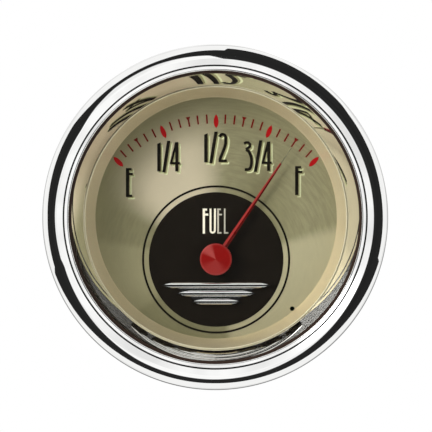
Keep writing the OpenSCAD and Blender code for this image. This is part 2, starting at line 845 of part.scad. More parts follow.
// Push-in lamp holder with a ribbed grip and a slot for a wedge bulb
module lamp_holder() {
    ribs = 12;
    rib_r = 0.5;
    color([0.12, 0.12, 0.12]) face_frame() translate([0, lamp_y, 0]) difference() {
        union() {
            disc(lamp_r, case_back - eps, lamp_front);
            disc(lamp_flange_d / 2, case_back - lamp_flange_t, case_back);
            disc(grip_r, grip_end, case_back - lamp_flange_t + eps);
            for (i = [0:ribs - 1]) rotate([0, 0, i * 360 / ribs]) translate([grip_r, 0, 0])
                disc(rib_r, grip_end + 0.6, case_back - lamp_flange_t + eps);
        }
        translate([-wedge_w / 2 - fit_gap, -wedge_t / 2 - fit_gap, lamp_front - wedge_len - fit_gap])
            cube([wedge_w + 2 * fit_gap, wedge_t + 2 * fit_gap, wedge_len + over]);
        contact_strips(fit_gap);
    }
}

module lamp_contacts() {
    color("gold") face_frame() translate([0, lamp_y, 0]) contact_strips(0);
}

// Wedge-base bulb: glass envelope and its flat pinched base
module lamp_bulb() {
    r = bulb_d / 2;
    neck = 0.15;
    color([0.95, 0.95, 0.9, 0.5]) face_frame() translate([0, lamp_y, 0]) union() {
        translate([0, 0, lamp_front + neck]) rotate_extrude() polygon(concat(
            [[0, 0], [r * 0.85, 0], [r, 1.2]],
            arc(0, bulb_len - r, r, r, 0, 90, 10)));
        translate([-wedge_w / 2, -wedge_t / 2, lamp_front - wedge_len])
            cube([wedge_w, wedge_t, wedge_len + neck + 0.5]);
    }
}

bezel();
lens();
lens_gasket();
mirror_ring();
satin_ring();
case();
case_flange();
dial_plate();
dial_print_black();
dial_print_red();
dial_trim();
pointer();
hub_cap();
spindle();
rotor_magnet();
light_cup();
shield_can();
bobbin_lower();
bobbin_upper();
coil_inner();
coil_outer();
top_bearing();
pivot_jewel();
circuit_board();
resistors();
terminal_studs();
terminal_insulators();
terminal_washers();
terminal_nuts();
mounting_studs();
jam_washers();
jam_nuts();
clamp_bracket();
lock_washers();
thumb_nut_left();
thumb_nut_right();
lamp_holder();
lamp_contacts();
lamp_bulb();
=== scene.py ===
"""Looks for a panel-mounted fuel gauge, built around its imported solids.

Sizes are in millimetres, as a part's drawing gives them: x to the right, v up the dial and
height h out of the panel towards the driver. place() turns them into metres in the frame,
where the dial looks along -Y.
"""
import json
import math

import bpy
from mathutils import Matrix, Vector
from mathutils.geometry import delaunay_2d_cdt


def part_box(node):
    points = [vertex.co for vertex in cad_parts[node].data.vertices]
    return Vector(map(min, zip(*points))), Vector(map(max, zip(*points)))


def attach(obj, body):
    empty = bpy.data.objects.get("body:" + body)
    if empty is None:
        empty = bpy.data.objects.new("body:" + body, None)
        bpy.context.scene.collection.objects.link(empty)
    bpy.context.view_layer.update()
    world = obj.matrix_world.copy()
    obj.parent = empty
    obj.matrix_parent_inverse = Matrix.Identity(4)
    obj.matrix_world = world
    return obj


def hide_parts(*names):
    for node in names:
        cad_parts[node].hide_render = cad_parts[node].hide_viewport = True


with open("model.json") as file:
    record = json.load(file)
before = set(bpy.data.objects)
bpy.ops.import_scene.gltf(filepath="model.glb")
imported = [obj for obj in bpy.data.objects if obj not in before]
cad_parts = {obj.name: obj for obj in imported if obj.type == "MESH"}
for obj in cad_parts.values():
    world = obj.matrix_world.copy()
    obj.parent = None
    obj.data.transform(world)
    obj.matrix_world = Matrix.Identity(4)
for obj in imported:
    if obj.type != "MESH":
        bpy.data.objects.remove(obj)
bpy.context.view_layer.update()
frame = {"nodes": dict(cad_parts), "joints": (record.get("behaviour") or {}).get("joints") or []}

MM = 0.001
PIVOT_V = frame["joints"][0]["pos_m"][2] / MM
POINTER_CLOCK = 34.1

# Camera: its distance, how many degrees it stands off the dial's axis, how wide its view is at
# the dial and the point (x, v) that it looks at
CAMERA_DISTANCE = 1500.0
CAMERA_RIGHT = 0.8
CAMERA_BELOW = 0.7
VIEW_WIDTH = 75.58
AIM = (0.07, 0.26)

# Light of the room, and the dark opening round the camera that polished metal sees in it,
# as (clock angle, half-angle) in degrees
WORLD_LEVEL = 0.8
OPENING = [
    (0, 16), (24, 16), (48, 30), (71, 45), (73, 35), (90, 31), (123, 35), (132, 18), (144, 6), (162, 8),
    (180, 20), (184, 45), (228, 45), (262, 45), (284, 44), (300, 41), (324, 26), (340, 18), (360, 16),
]
# Bright lamp that gloss shows as a glow, up to the left: its direction and half-angle in degrees,
# its strength and the share of the half-angle that is fully bright
KEY_CLOCK, KEY_TILT, KEY_HALF, KEY_STRENGTH = 310, 60, 18, 3.2
KEY_CORE = 0.6
# A card in front of the rim, dark inside and white outside: what the rim's outer side sees.
# Its dark part ends where a line from the crest, so many degrees outwards, meets it
CARD_RISE = 9.0
CARD_IN = 29.35
CARD_OUT = 96.0
CARD_EDGE = [
    (0, 30), (3, 30), (4, 55), (48, 55), (52, 45), (80, 35), (104, 40), (105, 62), (120, 45), (132, 31),
    (156, 26), (180, 20), (204, 25), (216, 30), (228, 39), (240, 52), (251, 65), (253, 42), (270, 37),
    (303, 53), (312, 32), (324, 23), (342, 20), (354, 28), (360, 30),
]

# Rings, as radii, and how far the bezel's crest lies inside its edge
WINDOW = 25.6
MIRROR_IN = 23.1
DIAL_VIEW = 21.2
RING_OUT = 25.9
CREST_IN = 1.5

# Depths of the grain and of turned or brushed streaks, in metres
GRAIN_DEPTH = 0.00002
STREAK_DEPTH = 0.00001

# Colours, linear
NICKEL = (0.43, 0.395, 0.225)
# The dial's tones after the first are painted light: the darkest is painted shade, the others are
# painted highlights
NICKEL_SHADE = (0.27, 0.25, 0.125)
NICKEL_MID = (0.53, 0.48, 0.28)
NICKEL_ROSE_HIGHLIGHT = (1.0, 0.87, 0.62)
NICKEL_LIGHT = (0.86, 0.78, 0.5)
CREAM = (0.86, 0.8, 0.64)
SHADOW_GREEN = (0.62, 0.64, 0.37)
EDGE_OLIVE = (0.27, 0.255, 0.125)
BLACK_INK = (0.009, 0.0065, 0.004)
RED = (0.215, 0.003, 0.002)
RED_MARK = (0.34, 0.004, 0.005)
RED_FINE = (0.15, 0.006, 0.004)
RED_LIT = (0.42, 0.09, 0.08)
POINTER_OLIVE = (0.17, 0.16, 0.09)
# Painted dark reflection in the bezel's lip
LIP_REFLECTION_DARK = (0.022, 0.012, 0.008)
SATIN_DARK = (0.6, 0.5, 0.325)
SATIN_LIGHT = (0.66, 0.56, 0.37)
SATIN_RIM_HIGHLIGHT = (1.0, 0.93, 0.68)

# Fans of light and shade: clock angle, degrees off it where the fan starts and where it is full,
# tint and strength. Rows of the dial begin with the fan's axis and the part of the dial it keeps to
DIAL_FANS = [
    ("pivot", "all", 268, 92, 62, NICKEL_SHADE, 0.42),
    ("pivot", "all", 258, 24, 18, NICKEL_MID, 0.6),
    ("pivot", "all", 205, 50, 22, NICKEL_SHADE, 0.45),
    ("pivot", "all", 123, 51, 43, NICKEL_LIGHT, 0.6),
    ("pivot", "near_disc", 50, 42, 12, NICKEL_SHADE, 0.6),
    ("pivot", "inside", 331, 37, 8, NICKEL_ROSE_HIGHLIGHT, 0.95),
    # Painted shadow of the deep rings near the dial's rim, up to the left, then a painted sheen on the
    # right where the dial is seen aslant
    ("centre", "near_rim", 318, 95, 45, NICKEL_SHADE, 0.4),
    ("centre", "grazing", 92, 85, 30, NICKEL_ROSE_HIGHLIGHT, 0.6),
]
# Painted light on the satin ring's right and left sides
SATIN_FANS = [(96, 58, 30, (0.8, 0.7, 0.48), 0.35), (265, 75, 20, (0.8, 0.7, 0.5), 0.6)]
# Painted darker reflection on the mirror ring, up to the left
MIRROR_FANS = [(318, 48, 20, (0.5, 0.46, 0.42), 1.0)]
# Painted highlights on the hub cap
CAP_FANS = [(320, 32, 2, RED_LIT, 0.5), (190, 75, 20, RED_LIT, 0.2)]


def place(x, v, h):
    """A place on the gauge, in metres in the frame."""
    return Vector((x * MM, -h * MM, v * MM))


def height_of(node, front=True):
    """Height of a node's front or back face above the panel, in millimetres."""
    low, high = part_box(node)
    return -(low.y if front else high.y) / MM


# Meshes

def new_object(name, verts, faces, mat, body, sharp=30.0):
    """A piece that rides on a body, smooth except at edges sharper than an angle in degrees."""
    mesh = bpy.data.meshes.new(name)
    mesh.from_pydata(verts, [], faces)
    mesh.validate()
    mesh.shade_smooth()
    mesh.set_sharp_from_angle(angle=math.radians(sharp))
    mesh.materials.append(mat)
    piece = bpy.data.objects.new(name, mesh)
    bpy.context.scene.collection.objects.link(piece)
    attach(piece, body)
    return piece


def arc(cx, ch, rx, rh, a0, a1, n):
    """Points on an ellipse's arc, from angle a0 to a1 in degrees."""
    angles = [math.radians(a0 + (a1 - a0) * i / n) for i in range(n + 1)]
    return [(cx + rx * math.cos(a), ch + rh * math.sin(a)) for a in angles]


def lathe(name, section, mat, body, turns=288, sharp=30.0):
    """A closed section of (radius, height) points, turned around the barrel's axis."""
    verts, faces = [], []
    n = len(section)
    for i in range(turns):
        a = 2 * math.pi * i / turns
        verts += [place(r * math.cos(a), r * math.sin(a), h) for r, h in section]
    for i in range(turns):
        here, there = i * n, (i + 1) % turns * n
        for k in range(n):
            m = (k + 1) % n
            faces.append((here + k, here + m, there + m, there + k))
    return new_object(name, verts, faces, mat, body, sharp)


def ribbon(points, width):
    """Four-sided pieces of a stroke along points, mitred where they meet."""
    sides = []
    count = len(points)
    for i, p in enumerate(points):
        before = Vector(points[max(i - 1, 0)])
        after = Vector(points[min(i + 1, count - 1)])
        here = Vector(p)
        d1 = (here - before).normalized() if i else (after - here).normalized()
        d2 = (after - here).normalized() if i < count - 1 else d1
        along = (d1 + d2).normalized()
        across = Vector((-along.y, along.x))
        reach = width / 2 / max(0.5, along.dot(d1))
        sides.append((here + across * reach, here - across * reach))
    return [[a0, b0, b1, a1] for (a0, b0), (a1, b1) in zip(sides, sides[1:])]


def ring_pieces(r0, r1, n=180):
    """Four-sided pieces of a flat ring between two radii."""
    inner, outer = arc(0, 0, r0, r0, 0, 360, n), arc(0, 0, r1, r1, 0, 360, n)
    inner[-1], outer[-1] = inner[0], outer[0]
    return [[inner[i], outer[i], outer[i + 1], inner[i + 1]] for i in range(n)]


def print_layer(name, shapes, h0, h1, mat, body="root"):
    """A flat printed layer: overlapping outlines joined into one, between two heights."""
    points, outlines = [], []
    for shape in shapes:
        area = sum(p[0] * q[1] - q[0] * p[1] for p, q in zip(shape, shape[1:] + shape[:1]))
        ordered = shape if area > 0 else shape[::-1]
        outlines.append(list(range(len(points), len(points) + len(shape))))
        points += [Vector((p[0], p[1])) for p in ordered]
    flat, _, found, _, _, source = delaunay_2d_cdt(points, [], outlines, 1, 1e-5)
    tris = [t for t, shapes_over in zip(found, source) if shapes_over]
    n = len(flat)
    verts = [place(p.x, p.y + PIVOT_V, h) for h in (h1, h0) for p in flat]
    faces = [tuple(t) for t in tris] + [tuple(n + i for i in reversed(t)) for t in tris]
    edges = {(t[i], t[(i + 1) % len(t)]) for t in tris for i in range(len(t))}
    faces += [(b, a, n + a, n + b) for a, b in edges if (b, a) not in edges]
    return new_object(name, verts, faces, mat, body)


# Materials

def nodes_of(name):
    """A new material, its nodes and its usual shader."""
    mat = bpy.data.materials.new(name)
    mat.use_nodes = True
    tree = mat.node_tree
    return mat, tree, tree.nodes["Principled BSDF"]


def bare_nodes(name):
    """A material without the usual shader, its nodes and the input that they feed."""
    mat, tree, shader = nodes_of(name)
    tree.nodes.remove(shader)
    return mat, tree, tree.nodes["Material Output"].inputs["Surface"]


def add(tree, kind, **inputs):
    """A new node, with its inputs and settings given by name."""
    node = tree.nodes.new(kind)
    for key, value in inputs.items():
        if key in node.inputs.keys():
            node.inputs[key].default_value = value
        else:
            setattr(node, key, value)
    return node


def feed(tree, value, socket):
    """Gives a socket what it takes: another node's output, a number or a vector."""
    if isinstance(value, bpy.types.NodeSocket):
        tree.links.new(value, socket)
    else:
        socket.default_value = value


def maths(tree, operation, *values):
    node = add(tree, "ShaderNodeMath", operation=operation)
    for value, socket in zip(values, node.inputs):
        feed(tree, value, socket)
    return node.outputs["Value"]


def vectors(tree, operation, *values):
    node = add(tree, "ShaderNodeVectorMath", operation=operation)
    for value, socket in zip(values, node.inputs):
        feed(tree, value, socket)
    return node.outputs["Value" if operation in ("LENGTH", "DOT_PRODUCT") else "Vector"]


def product(tree, one, two):
    return maths(tree, "MULTIPLY", one, two)


def object_coords(tree, scale=(1, 1, 1)):
    coords = add(tree, "ShaderNodeTexCoord")
    mapping = add(tree, "ShaderNodeMapping", Scale=scale)
    feed(tree, coords.outputs["Object"], mapping.inputs["Vector"])
    return mapping.outputs["Vector"]


def noise(tree, vector, scale, detail=3.0):
    node = add(tree, "ShaderNodeTexNoise", Scale=scale, Detail=detail)
    feed(tree, vector, node.inputs["Vector"])
    return node.outputs["Fac"]


def spread(tree, value, low, high, start=0.3, end=0.7):
    """Maps start to end onto low to high. The default is a noise's middle range."""
    node = add(tree, "ShaderNodeMapRange")
    for key, number in (("From Min", start), ("From Max", end), ("To Min", low), ("To Max", high)):
        node.inputs[key].default_value = number
    feed(tree, value, node.inputs["Value"])
    return node.outputs["Result"]


def socket_of(sockets, identifier):
    return next(s for s in sockets if s.identifier == identifier)


def blended(tree, factor, one, two):
    """A colour that runs from one to two, each a linear colour or a socket."""
    node = add(tree, "ShaderNodeMix", data_type="RGBA")
    for colour, identifier in ((one, "A_Color"), (two, "B_Color")):
        value = (*colour, 1) if isinstance(colour, tuple) else colour
        feed(tree, value, socket_of(node.inputs, identifier))
    feed(tree, factor, node.inputs["Factor"])
    return socket_of(node.outputs, "Result_Color")


def mixed_shader(tree, factor, one, two):
    node = add(tree, "ShaderNodeMixShader")
    for value, socket in zip((factor, one, two), node.inputs):
        feed(tree, value, socket)
    return node.outputs["Shader"]


def toned(colour, share):
    """A colour darkened or lightened by a share."""
    return tuple(min(1.0, c * share) for c in colour)


def bump(tree, shader, value, strength, distance):
    node = add(tree, "ShaderNodeBump", Strength=strength, Distance=distance)
    feed(tree, value, node.inputs["Height"])
    feed(tree, node.outputs["Normal"], shader.inputs["Normal"])


def finish(tree, shader, colour, rough, **settings):
    """Feeds a shader its colour and roughness, and its other inputs by name with _ for a space."""
    feed(tree, colour, shader.inputs["Base Color"])
    feed(tree, rough, shader.inputs["Roughness"])
    for label, value in settings.items():
        feed(tree, value, shader.inputs[label.replace("_", " ")])


def finish_metal(name, colour, rough, grain=(1, 1, 1), grain_scale=900.0):
    """Metal with a fine grain in its colour, its roughness and its surface."""
    blotch_scale, tone, relief = 90.0, 0.08, 0.1
    mat, tree, shader = nodes_of(name)
    fine = noise(tree, object_coords(tree, grain), grain_scale)
    broad = noise(tree, object_coords(tree), blotch_scale)
    shade = blended(tree, broad, toned(colour, 1 - tone), toned(colour, 1 + tone))
    finish(tree, shader, shade, spread(tree, fine, rough * 0.8, rough * 1.25), Metallic=1.0)
    bump(tree, shader, fine, relief, GRAIN_DEPTH)
    return mat


def finish_plain(name, colour, rough, tone=0.1, coat=0.0, relief=0.15, gloss=0.5):
    """Paint, plastic, rubber or board, with slight mottling."""
    grain_scale, blotch_scale = 600.0, 120.0
    mat, tree, shader = nodes_of(name)
    fine = noise(tree, object_coords(tree), grain_scale)
    broad = noise(tree, object_coords(tree), blotch_scale)
    shade = blended(tree, broad, toned(colour, 1 - tone), toned(colour, 1 + tone))
    finish(tree, shader, shade, spread(tree, fine, rough * 0.85, min(1.0, rough * 1.15)),
           Coat_Weight=coat, Coat_Roughness=0.08, Specular_IOR_Level=gloss)
    bump(tree, shader, fine, relief, GRAIN_DEPTH)
    return mat


def chrome():
    """Bright chrome plate."""
    mat, tree, shader = nodes_of("bright_chrome")
    fine = noise(tree, object_coords(tree), 260.0)
    shade = blended(tree, fine, (0.86, 0.86, 0.85), (0.93, 0.93, 0.92))
    finish(tree, shader, shade, spread(tree, fine, 0.015, 0.045), Metallic=1.0)
    return mat


def clear_glass(name, tint):
    """Thin clear glass: what is behind shows straight through, with a reflection on top."""
    head_on, steepness = 0.035, 5.0
    mat, tree, surface = bare_nodes(name)
    through = add(tree, "ShaderNodeBsdfTransparent", Color=(*tint, 1))
    gloss = add(tree, "ShaderNodeBsdfGlossy", Roughness=0.01)
    slant = add(tree, "ShaderNodeLayerWeight", Blend=0.5)
    steep = maths(tree, "POWER", slant.outputs["Facing"], steepness)
    share = spread(tree, steep, head_on, 1.0, 0.0, 1.0)
    path = add(tree, "ShaderNodeLightPath")
    open_to_light = maths(tree, "SUBTRACT", 1.0, path.outputs["Is Shadow Ray"])
    amount = product(tree, share, open_to_light)
    feed(tree, mixed_shader(tree, amount, through.outputs["BSDF"], gloss.outputs["BSDF"]), surface)
    return mat


def clock_vector(clock):
    """Direction in the dial's plane at a clock angle in degrees."""
    a = math.radians(clock)
    return math.sin(a), 0, math.cos(a)


def around_axis(tree, centre_v=0.0):
    """Distance in metres from an axis through the dial, and the unit direction away from it."""
    coords = add(tree, "ShaderNodeTexCoord")
    flat = vectors(tree, "MULTIPLY_ADD", coords.outputs["Object"], (1, 0, 1), (0, 0, -centre_v * MM))
    return vectors(tree, "LENGTH", flat), vectors(tree, "NORMALIZE", flat)


def turned_streaks(tree, scale, centre_v=0.0):
    """Noise drawn out along circles round an axis, as a lathe leaves it."""
    along = 8
    reach, unit = around_axis(tree, centre_v)
    part = add(tree, "ShaderNodeCombineXYZ")
    feed(tree, product(tree, reach, scale), part.inputs["Y"])
    joined = vectors(tree, "MULTIPLY_ADD", unit, (along, along, along), part.outputs["Vector"])
    return noise(tree, joined, 1.0)


def towards(tree, unit, clock, start, full):
    """0 to 1 as the direction from an axis comes from start to full degrees off a clock angle."""
    ramp = add(tree, "ShaderNodeMapRange", interpolation_type="SMOOTHSTEP")
    ramp.inputs["From Min"].default_value = math.cos(math.radians(start))
    ramp.inputs["From Max"].default_value = math.cos(math.radians(full))
    feed(tree, vectors(tree, "DOT_PRODUCT", unit, clock_vector(clock)), ramp.inputs["Value"])
    return ramp.outputs["Result"]


def layered(tree, colour, layers):
    """Lays tints over a colour: each layer is (factor socket, tint, strength)."""
    for factor, tint, strength in layers:
        colour = blended(tree, product(tree, factor, strength), colour, tint)
    return colour


def fans(tree, unit, table):
    """Layers from rows of (clock angle, start, full, tint, strength)."""
    return [(towards(tree, unit, clock, start, full), tint, strength)
            for clock, start, full, tint, strength in table]


def dial_fans(tree, about_pivot):
    """The dial's fans of painted highlight and painted shade as layers, each kept to its part of the
    dial.

    The parts fade between two distances from the centre, in metres, or as the view gets aslant.
    """
    reach, outward = around_axis(tree)
    slant = add(tree, "ShaderNodeLayerWeight", Blend=0.5)
    parts = {
        "near_disc": spread(tree, reach, 1.0, 0.0, 0.0095, 0.016),
        "inside": spread(tree, reach, 1.0, 0.0, 0.0125, 0.0215),
        "near_rim": spread(tree, reach, 0.0, 1.0, 0.0145, 0.0212),
        "grazing": spread(tree, slant.outputs["Facing"], 0.0, 1.0, 0.22, 0.5),
    }
    axes = {"pivot": about_pivot, "centre": outward}
    layers = []
    for axis, part, clock, start, full, tint, strength in DIAL_FANS:
        fan = towards(tree, axes[axis], clock, start, full)
        layers.append((product(tree, fan, parts[part]) if part in parts else fan, tint, strength))
    return layers


def brushed_dial():
    """Champagne nickel brushed in circles round the pivot, with painted highlights and painted shade in
    fans like those that such brushing shows.
    """
    tone, streak_scale = 0.09, 2600.0
    mat, tree, shader = nodes_of("brushed_nickel")
    streaks = turned_streaks(tree, streak_scale, PIVOT_V)
    _, unit = around_axis(tree, PIVOT_V)
    mottle = spread(tree, streaks, 0.0, 1.0, 0.35, 0.65)
    base = blended(tree, mottle, toned(NICKEL, 1 - tone), toned(NICKEL, 1 + tone))
    brushing = vectors(tree, "CROSS_PRODUCT", unit, (0, 1, 0))
    finish(tree, shader, layered(tree, base, dial_fans(tree, unit)), spread(tree, streaks, 0.39, 0.43),
           Metallic=0.6, Anisotropic=0.7, Tangent=brushing)
    bump(tree, shader, streaks, 0.05, STREAK_DEPTH)
    return mat


def polished_mirror():
    """Polished ring with a champagne tone, with a painted darker reflection up to the left."""
    mat, tree, shader = nodes_of("polished_cone")
    fine = noise(tree, object_coords(tree), 160.0, 1.0)
    _, outward = around_axis(tree)
    base = blended(tree, fine, (0.94, 0.92, 0.88), (0.97, 0.95, 0.91))
    shade = layered(tree, base, fans(tree, outward, MIRROR_FANS))
    finish(tree, shader, shade, spread(tree, fine, 0.018, 0.026), Metallic=1.0)
    return mat


def disc_ink():
    """Black ink under a clear coat."""
    mat, tree, shader = nodes_of("disc_black")
    broad = noise(tree, object_coords(tree), 120.0)
    shade = blended(tree, broad, toned(BLACK_INK, 0.9), toned(BLACK_INK, 1.1))
    finish(tree, shader, shade, spread(tree, broad, 0.46, 0.54),
           Specular_IOR_Level=0.1, Coat_Weight=1.0, Coat_Roughness=0.03)
    return mat


def satin_ring_finish():
    """Satin champagne, with a painted highlight on the rim against the mirror and painted light on the
    sides.
    """
    rim_start, rim_full, rim_strength = 0.02284, 0.0229, 0.95
    mat, tree, shader = nodes_of("satin_champagne")
    streaks = turned_streaks(tree, 900.0)
    reach, outward = around_axis(tree)
    base = blended(tree, spread(tree, streaks, 0.0, 1.0), SATIN_DARK, SATIN_LIGHT)
    # Painted highlight: a bright line along the bead against the mirror
    rim = (spread(tree, reach, 0.0, 1.0, rim_start, rim_full), SATIN_RIM_HIGHLIGHT, rim_strength)
    shade = layered(tree, base, fans(tree, outward, SATIN_FANS) + [rim])
    finish(tree, shader, shade, spread(tree, streaks, 0.38, 0.5), Metallic=0.5)
    return mat


def turned_cap():
    """Red cap with a turned face and painted highlights: paler wedges where its circles would catch the
    light, and a paler edge.
    """
    edge_start, edge_full, edge_strength = 0.0024, 0.0027, 0.25
    mat, tree, shader = nodes_of("hub_red")
    rings = turned_streaks(tree, 5200.0, PIVOT_V)
    reach, unit = around_axis(tree, PIVOT_V)
    base = blended(tree, spread(tree, rings, 0.0, 1.0, 0.35, 0.65), toned(RED, 0.85), RED)
    edge = (spread(tree, reach, 0.0, 1.0, edge_start, edge_full), RED_LIT, edge_strength)
    shade = layered(tree, base, fans(tree, unit, CAP_FANS) + [edge])
    finish(tree, shader, shade, spread(tree, rings, 0.28, 0.4), Specular_IOR_Level=0.12)
    bump(tree, shader, rings, 0.15, STREAK_DEPTH)
    return mat


def facetted_red():
    """Red lacquer of the pointer, with painted light and shade: the facet that leans to its left is
    paler, the other painted darker.
    """
    shaded, lit_strength, turn_over = 0.5, 0.22, 0.2
    mat, tree, shader = nodes_of("pointer_red")
    fine = noise(tree, object_coords(tree), 900.0)
    coords = add(tree, "ShaderNodeTexCoord")
    lean = vectors(tree, "DOT_PRODUCT", coords.outputs["Normal"], clock_vector(POINTER_CLOCK - 90))
    dark = toned(RED, shaded)
    base = blended(tree, spread(tree, fine, 0.0, 1.0), toned(dark, 0.9), dark)
    # Painted light and shade: the facet leaning left gets full red and a painted highlight, the other
    # keeps a painted darker red
    facing = spread(tree, lean, 0.0, 1.0, -turn_over, turn_over)
    tints = [(facing, RED, 1.0), (product(tree, facing, facing), RED_LIT, lit_strength)]
    finish(tree, shader, layered(tree, base, tints), spread(tree, fine, 0.25, 0.35),
           Specular_IOR_Level=0.15)
    return mat


# Letters and figures, as outlines about each one's centre

def figure_one(x):
    top, bottom = 2.5, -2.6
    return [[(x - 0.32, top - 0.26), (x - 0.31, bottom), (x + 0.31, bottom), (x + 0.31, top)]]


def slash(x0, x1):
    reach = 2.78
    return [[(x0 - 0.3, -reach), (x0 + 0.28, -reach), (x1 + 0.3, reach), (x1 - 0.28, reach)]]


def figure_four(x):
    top, bottom, bar = 2.55, -2.6, -1.17
    stem = [[(x - 0.27, bottom), (x + 0.29, bottom), (x + 0.29, top), (x - 0.24, top)]]
    arm = ribbon([(x - 0.08, top - 0.1), (x - 0.98, bar + 0.05)], 0.4)
    foot = ribbon([(x - 1.2, bar), (x + 0.56, bar)], 0.42)
    return stem + arm + foot


def figure_two(x):
    hook = arc(x + 0.02, 1.62, 0.56, 0.68, 160, 0, 10)
    sweep = [(x + 0.56, 0.75), (x + 0.4, 0.05), (x + 0.02, -0.95), (x - 0.38, -1.9), (x - 0.46, -2.3)]
    foot = ribbon([(x - 0.68, -2.36), (x + 0.78, -2.36)], 0.46)
    return ribbon(hook + sweep, 0.52) + foot


def figure_three(x):
    upper = [(x - 0.62, 2.18), (x - 0.3, 2.38), (x + 0.12, 2.38), (x + 0.42, 2.08), (x + 0.38, 1.68),
             (x - 0.3, 1.12)]
    lower = [(x - 0.3, 1.12), (x + 0.2, 0.86)] + arc(x + 0.1, -0.9, 0.6, 1.5, 60, -60, 10)
    tail = [(x + 0.1, -2.36), (x - 0.5, -2.36)]
    return ribbon(upper, 0.47) + ribbon(lower + tail, 0.52)


def letter_e(arms=1.0, half=2.55, stem=0.58, bar=0.42):
    """The stem, then the upper, middle and lower arms."""
    x0, middle_drop, middle_more, lower_more = -0.55, 1.05, 0.22, 0.12
    upper = (half - bar / 2, arms)
    middle = (half - middle_drop, arms + middle_more)
    lower = (bar / 2 - half, arms + lower_more)
    shapes = [[(x0, -half), (x0 + stem, -half), (x0 + stem, half), (x0, half)]]
    for y, reach in (upper, middle, lower):
        x1, low, high = x0 + reach, y - bar / 2, y + bar / 2
        shapes.append([(x0, low), (x1, low), (x1, high), (x0, high)])
    return shapes


def letter_f(arms=1.05, half=2.55, stem=0.58, bar=0.42):
    """An E without its lower arm."""
    return letter_e(arms, half, stem, bar)[:3]


def letter_u(half, wide, left, right):
    r = wide / 2
    path = [(-r + left / 2, half), (-r + left / 2, -half + r)]
    path += arc(0, -half + r, r - left / 2, r - left / 2, 180, 360, 8)[1:]
    path += [(r - right / 2, half)]
    return ribbon(path, (left + right) / 2)


def letter_l(half):
    stem, foot = 0.26, 0.75
    return [[(0, -half), (stem, -half), (stem, half), (0, half)],
            [(0, -half), (foot, -half), (foot, -half + stem), (0, -half + stem)]]


def moved(shapes, x, v):
    """Outlines shifted by x and v."""
    return [[(p[0] + x, p[1] + v) for p in shape] for shape in shapes]


QUARTER = figure_one(-1.67) + slash(-0.82, 0.03) + figure_four(1.44)
HALF = figure_one(-1.82) + slash(-0.96, -0.05) + figure_two(1.08)
THREE_QUARTERS = figure_three(-1.66) + slash(-0.3, 0.66) + figure_four(2.02)
# Each figure or letter and its centre, from the pivot
FIGURES = [
    (QUARTER, -8.36, 18.08), (HALF, 0.04, 19.68), (THREE_QUARTERS, 7.2, 18.16),
    (letter_e(), -15.3, 13.52), (letter_f(), 14.43, 13.86),
]
# How far the pale and the olive layers lie down to the right of the figures
DROP = (0.41, -0.37)
EDGE = (0.22, -0.2)


def turned(shape, clock):
    """An outline turned clockwise about the pivot."""
    a = math.radians(clock)
    c, s = math.cos(a), math.sin(a)
    return [(p[0] * c + p[1] * s, p[1] * c - p[0] * s) for p in shape]


def leaf_mark(top):
    """Outline of a quarter's leaf, at 12 o'clock."""
    wide, length = 0.84, 2.45
    waist = [0.0, 0.62, 0.9, 1.0, 0.94, 0.7, 0.0]
    side = [(wide / 2 * w, top - length * i / 6) for i, w in enumerate(waist)]
    return side + [(-p[0], p[1]) for p in side[-2:0:-1]]


def fine_mark(top):
    """Outline of a fine mark, at 12 o'clock."""
    half, length = 0.14, 1.6
    return [(-half, top), (-half, top - length), (half, top - length), (half, top)]


def headed_mark(top):
    """Outline of an eighth's mark, wider at its head, at 12 o'clock."""
    half, head, neck, length = 0.14, 0.42, 0.55, 1.75
    return [(-head, top), (-half, top - neck), (-half, top - length),
            (half, top - length), (half, top - neck), (head, top)]


def dial_marks(bright, deep):
    """Scale marks from E to F: leaves at the quarters, headed marks at the eighths."""
    sweep, divisions, top, thick = 90, 24, 25.52, 0.05
    leaves, lines = [], []
    for i in range(divisions + 1):
        clock = sweep * (i / divisions - 0.5)
        if i % 6 == 0:
            leaves.append(turned(leaf_mark(top), clock))
        else:
            lines.append(turned(headed_mark(top) if i % 3 == 0 else fine_mark(top), clock))
    dial_h = height_of("dial_plate")
    for name, shapes, mat in (("quarter_marks", leaves, bright), ("fine_marks", lines, deep)):
        piece = print_layer(name, shapes, dial_h, dial_h + thick, mat)
        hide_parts("dial_print_red")


def dial_figures(black, olive, pale):
    """The fractions and the letters E and F, with pale and olive edges like raised figures."""
    layer = 0.02
    h0 = height_of("dial_plate")
    h1 = h0 + layer
    h2 = h0 + 2 * layer
    h3 = h0 + 3 * layer
    shapes = [s for glyph, x, v in FIGURES for s in moved(glyph, x, v)]
    print_layer("figure_shadows", moved(shapes, *DROP), h0, h1, pale)
    print_layer("figure_edges", moved(shapes, *EDGE), h1, h2, olive)
    print_layer("figures", shapes, h2, h3, black)


def dial_disc(black):
    """The black disc round the pivot and the thin circle about it."""
    dial_h = height_of("dial_plate")
    hole_r, disc_r, circle_in, circle_out = 1.2, 11.82, 12.65, 13.01
    shapes = ring_pieces(hole_r, disc_r) + ring_pieces(circle_in, circle_out)
    top = height_of("dial_print_black")
    piece = print_layer("disc_and_circle", shapes, dial_h, top, black)
    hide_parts("dial_print_black")


def word_fuel(bright, dim):
    """The word on the disc: two heavy bright letters, then two fine dim ones."""
    top = height_of("dial_print_black")
    v, half, thick = 6.74, 2.2, 0.03
    f = moved(letter_f(0.76, half, 0.4, 0.36), -1.8, v)
    u = moved(letter_u(half, 1.12, 0.36, 0.3), -0.6, v)
    e = moved(letter_e(0.62, half, 0.3, 0.27), 0.75, v)
    ell = moved(letter_l(half), 1.38, v)
    print_layer("word_left", f + u, top, top + thick, bright)
    print_layer("word_right", e + ell, top, top + thick, dim)


